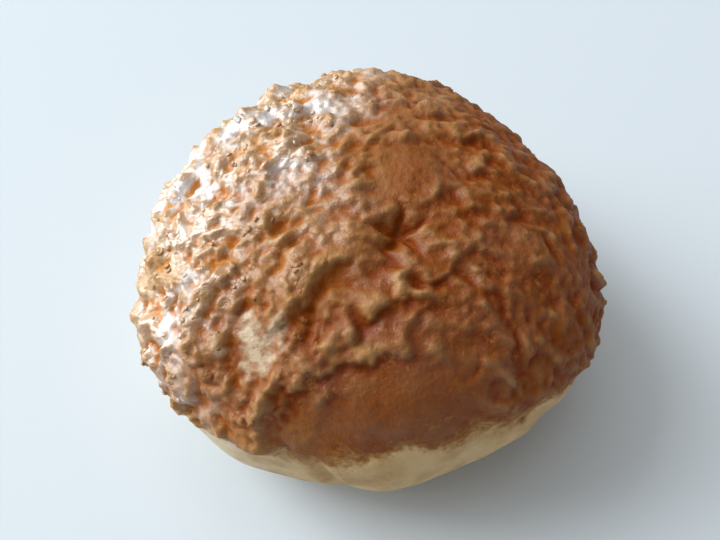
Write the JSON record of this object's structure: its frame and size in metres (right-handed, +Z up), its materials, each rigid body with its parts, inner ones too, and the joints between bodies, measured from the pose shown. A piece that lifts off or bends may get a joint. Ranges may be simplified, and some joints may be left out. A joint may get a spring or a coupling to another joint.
{
  "type": "cream puff",
  "caption": "Whole cream puff: a round, uncut choux bun with a flat sole, a smooth pale skirt and a craggy, glazed golden-brown crumb crust on top.",
  "frame": {"origin": "middle of the width and depth, at the flat sole", "axes": "+Z up from the sole to the crown, +X along the widest way, -Y towards the side that is seen nearest"},
  "size_m": [0.0919, 0.0912, 0.0557],
  "materials": {
    "baked_crust": "baked choux with a thin glaze: golden brown crumbs, paler skirt"
  },
  "bodies": {
    "root": {"cream_puff": "baked_crust"}
  },
  "joints": []
}
